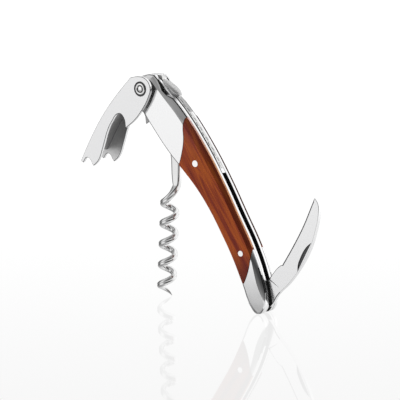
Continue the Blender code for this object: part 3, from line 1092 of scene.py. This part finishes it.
def build_worm(looks):
    """The worm, swept along its path in one piece with its flat shank."""
    path = worm_path()
    sides = 28
    rings = []
    across = Vector((1.0, 0.0, 0.0))
    for index, (point, half_width, half_thickness, coiled) in enumerate(path):
        before = path[max(index - 1, 0)][0]
        onward = path[min(index + 1, len(path) - 1)][0]
        along = (onward - before).normalized()
        centre_x = WORM_PIVOT[0] + COIL_DROP[0] - COIL_RADIUS
        centre_x -= max(0.0, WORM_PIVOT[1] - COIL_DROP[1] - point.z) * COIL_LEAN
        outward = point - Vector((centre_x, 0.0, point.z)) if coiled > 0 else across
        outward = (outward - along * outward.dot(along)).normalized()
        side = along.cross(outward)
        ring = []
        for step in range(sides):
            wide, thick = wire_section(2 * math.pi * step / sides, coiled)
            ring.append(point + outward * (wide * half_width) + side * (thick * half_thickness))
        rings.append(ring)
    worm = stack_rings("worm_fluted", rings)
    shade(worm, 42)
    place_piece(worm, (looks["worm"],), "worm", "bright_steel", "worm")


# ---------------------------------------------------------------- knife


def build_knife(looks):
    """The foil knife, with its nail nick, heel step and the line across its tang."""
    outline = flat_outline("knife_blade", -BLADE_HALF)
    bevels = [
        0.62 if normal.x > 0.3 and z > TANG_TOP else 0.28
        for (x, z), normal in zip(outline, inward_normals(outline))
    ]
    blade = plate("knife_blade_ground", outline, -BLADE_HALF, BLADE_HALF, 0.28, bevels)
    # Painted shade stays on the rims that face -X and on those below 10 mm; the others turn
    # brushed.
    for polygon in blade.data.polygons:
        if polygon.normal.x > -0.1 and polygon.center.z > 0.010:
            polygon.material_index = 0
    # The floors of the nick and the groove get painted shade, and the tang's relief gets black
    # painted shade.
    for sign in (-1, 1):
        cut_with(blade, nick_cutter(sign), "DIFFERENCE", 2)
        cut_with(blade, groove_cutter(sign), "DIFFERENCE", 2)
        cut_with(blade, tang_cutter(sign), "DIFFERENCE", 3)
    shade(blade)
    finish = (looks["brushed"], looks["pocket"], looks["pocket"], looks["shadow"])
    place_piece(blade, finish, "knife", "steel", "knife_blade")


def nick_cutter(sign):
    """A D-shaped pocket beside the spine."""
    curve = ((52.9, 20.6), (53.1, 23.8), (54.2, 26.7), (55.7, 29.7), (57.6, 32.3), (60.0, 34.3))
    outline = [(x - 1.25, z) for x, z in smooth_line(curve, 6)]
    return prism("nick", outline, sign, BLADE_HALF - 0.45, BLADE_HALF + 1.0)


def tang_cutter(sign):
    """The relief round the knife's pivot, which sits in the slot's end; it gets black painted
    shade.
    """
    edge = ((38.9, -2.0), (38.7, 5.0), (38.2, 8.1), (37.5, 10.6), (37.1, 14.4))
    outline = ((33.0, -2.0), *edge, (33.0, 14.4))
    return prism("relief", outline, sign, BLADE_HALF - 0.08, BLADE_HALF + 1.0)


def groove_cutter(sign):
    """The narrow line across the tang where the grinding starts."""
    start = Vector((36.85, 15.6))
    end = Vector((41.95, 12.4))
    along = (end - start).normalized()
    side = Vector((-along.y, along.x))
    outline = (start - side * 0.25, end - side * 0.02, end + side * 0.02, start + side * 0.25)
    return prism("groove", outline, sign, BLADE_HALF - 0.3, BLADE_HALF + 1.0)


# ---------------------------------------------------------------- stage, light, camera


def build_stage():
    """A white glossy sheet. Its own picture in the metal is painted in the studio's lower half."""
    bpy.ops.mesh.primitive_plane_add(size=8.0, location=(0.0, 0.0, -0.0001))
    floor = bpy.context.object
    floor.name = "floor"
    material, tree, shader = new_material("pale_floor")
    shader.inputs["Base Color"].default_value = (0.0, 0.0, 0.0, 1.0)
    shader.inputs["Roughness"].default_value = 0.03
    shader.inputs["IOR"].default_value = 1.15
    shader.inputs["Emission Color"].default_value = (1.0, 1.0, 1.0, 1.0)
    shader.inputs["Emission Strength"].default_value = 0.83
    floor.data.materials.append(material)
    floor.visible_glossy = False


# The studio's light by azimuth, from 0 behind the object, over 0.25 at the left, 0.5 in front and
# 0.75 at the right, to 1 behind again: on the floor, at eye level, and overhead.
LIGHT_BELOW = (
    (0.00, 0.80), (0.15, 0.60), (0.25, 0.30), (0.40, 0.42),
    (0.55, 0.55), (0.72, 0.95), (0.90, 0.95),
)
LIGHT_LEVEL = (
    (0.00, 0.92), (0.13, 0.84), (0.20, 0.14), (0.31, 0.16),
    (0.36, 1.00), (0.44, 1.00), (0.50, 0.24), (0.60, 0.05),
    (0.70, 0.10), (0.80, 0.90), (0.90, 1.25), (0.95, 1.20),
)
LIGHT_ABOVE = (
    (0.00, 1.25), (0.20, 0.70), (0.38, 0.60), (0.50, 0.35),
    (0.62, 0.24), (0.75, 0.55), (0.88, 0.90),
)


def light_ring(tree, azimuth, stops):
    """A loop of grey levels: the first level also ends the loop."""
    return ramp(tree, azimuth, (*stops, (1.0, stops[0][1])))


def blend_levels(tree, height, start, end, low, high):
    """Fade from one loop of light to the next, between two heights."""
    share = map_range(tree, height, 0.0, 1.0, start, end, interpolation_type="SMOOTHSTEP")
    return mix_colors(tree, share, low, high)


def build_world():
    """A white backdrop behind, a dim room in front, dark flags at the sides, a card front left."""
    world = bpy.data.worlds.new("studio")
    bpy.context.scene.world = world
    world.use_nodes = True
    tree = world.node_tree
    background = tree.nodes["Background"]
    direction = split_axes(tree, add_node(tree, "ShaderNodeTexCoord").outputs["Generated"])
    ahead = arithmetic(tree, "MULTIPLY", direction["Y"], -1.0)
    angle = arithmetic(tree, "ARCTAN2", direction["X"], ahead)
    azimuth = map_range(tree, angle, 0.0, 1.0, -math.pi, math.pi)
    height = direction["Z"]
    below = light_ring(tree, azimuth, LIGHT_BELOW)
    level = light_ring(tree, azimuth, LIGHT_LEVEL)
    above = light_ring(tree, azimuth, LIGHT_ABOVE)
    lower = blend_levels(tree, height, -0.45, -0.12, below, level)
    total = blend_levels(tree, height, 0.25, 0.75, lower, above)
    path = add_node(tree, "ShaderNodeLightPath")
    seen = add_node(tree, "ShaderNodeMix", data_type="RGBA")
    seen.inputs["B"].default_value = (1.0, 1.0, 1.0, 1.0)
    tree.links.new(path.outputs["Is Camera Ray"], seen.inputs["Factor"])
    tree.links.new(total, seen.inputs["A"])
    tree.links.new(seen.outputs["Result"], background.inputs["Color"])
    background.inputs["Strength"].default_value = 1.0
    bpy.context.scene.view_settings.view_transform = "Standard"


def build_lamps():
    """Soft boxes that the metal doesn't mirror: they light the wood and the floor."""
    for name, place, size, power in (
        ("key", (-0.80, -0.58, 0.10), 0.40, 19.0),
        ("back", (0.35, 0.80, 0.55), 0.60, 14.0),
    ):
        data = bpy.data.lights.new(name, "AREA")
        data.shape = "DISK"
        data.size = size
        data.energy = power
        lamp = bpy.data.objects.new(name, data)
        bpy.context.scene.collection.objects.link(lamp)
        lamp.location = place
        lamp.rotation_euler = Vector(place).to_track_quat("Z", "Y").to_euler()
        lamp.visible_glossy = False


def build_camera():
    """A long lens in front and to the right, a little above the object."""
    azimuth = math.radians(36.0)
    elevation = math.radians(10.2)
    aim = Vector((-0.00125, 0.0, 0.0464))
    away = Vector(
        (
            math.sin(azimuth) * math.cos(elevation),
            -math.cos(azimuth) * math.cos(elevation),
            math.sin(elevation),
        )
    )
    data = bpy.data.cameras.new("camera")
    data.lens = 202.5
    data.sensor_width = 36.0
    data.clip_start = 0.01
    data.clip_end = 50.0
    camera = bpy.data.objects.new("camera", data)
    bpy.context.scene.collection.objects.link(camera)
    camera.location = aim + away * 1.0
    camera.rotation_euler = away.to_track_quat("Z", "Y").to_euler()
    bpy.context.scene.camera = camera


def main():
    looks = {
        "mirror": steel("polished_steel", (0.92, 0.92, 0.925), 0.10, 0.17),
        "brushed": steel("brushed_steel", (0.90, 0.90, 0.905), 0.16, 0.25),
        "lever": steel("lever_steel", (0.84, 0.84, 0.845), 0.16, 0.25),
        "satin": steel("satin_steel", (0.88, 0.88, 0.885), 0.20, 0.30),
        "bright": steel("bright_steel", (0.95, 0.95, 0.95), 0.06, 0.12),
        "worm": steel("worm_steel", (0.80, 0.80, 0.80), 0.07, 0.14),
        "hatch": steel("hatched_steel", (0.64, 0.64, 0.64), 0.34, 0.46),
        "spring": steel("spring_steel", (0.70, 0.70, 0.695), 0.24, 0.34),
        # Painted shade on the right side of the back, below the catch.
        "upper_spring": steel("painted_shade_spring_steel", (0.40, 0.40, 0.40), 0.28, 0.40),
        # Painted shade on the bolsters' belly facet and lower rim.
        "rim": steel("painted_shade_rim_steel", (0.36, 0.36, 0.365), 0.20, 0.30),
        "edge": steel("shaded_edge", (0.15, 0.15, 0.155), 0.25, 0.40),
        # Painted shade and a painted reflection inside the lever.
        "inside": painted_lever_shade("painted_lever_shade"),
        # Painted shade: near-black steel for recesses, grooves, gaps and the knife's edge.
        "pocket": steel("painted_shade_steel", (0.085, 0.085, 0.087), 0.22, 0.34),
        # Painted shade: near-black for seams, the slot, the hollow beside the catch and the tang's
        # relief.
        "shadow": painted_shade_finish("painted_shadow_steel", 0.012, 0.030),
        # Painted shade: the liners' rims that turn away from the left, and a line along the spring.
        "gap": painted_shade_finish("painted_shade_gap", 0.035, 0.065),
        "wood": rosewood("rosewood", WOOD_TONES, 0.10),
        # Painted highlight on the left scale's edge.
        "lit_edge_wood": rosewood("painted_highlight_rosewood", LIT_EDGE_TONES, 0.0),
        # Painted shade on the right scale's edge.
        "shaded_wood": rosewood("painted_shade_rosewood", SHADED_WOOD_TONES, 0.0),
    }
    handle = flat_outline("left_liner", -LINER_OUT)
    build_camera()
    build_world()
    build_lamps()
    build_stage()
    build_sides(handle, looks)
    build_liners(handle, looks)
    build_pins(looks)
    build_rivet(looks)
    build_spring(handle, looks)
    build_catch(handle, looks)
    build_lever(looks)
    build_worm(looks)
    build_knife(looks)
    # Painted shade: the washers and the spring pin sit in shaded gaps.
    for node in ("left_lever_washer", "right_lever_washer", "spring_pin"):
        frame["nodes"][node].data.materials.clear()
        frame["nodes"][node].data.materials.append(looks["pocket"])


main()
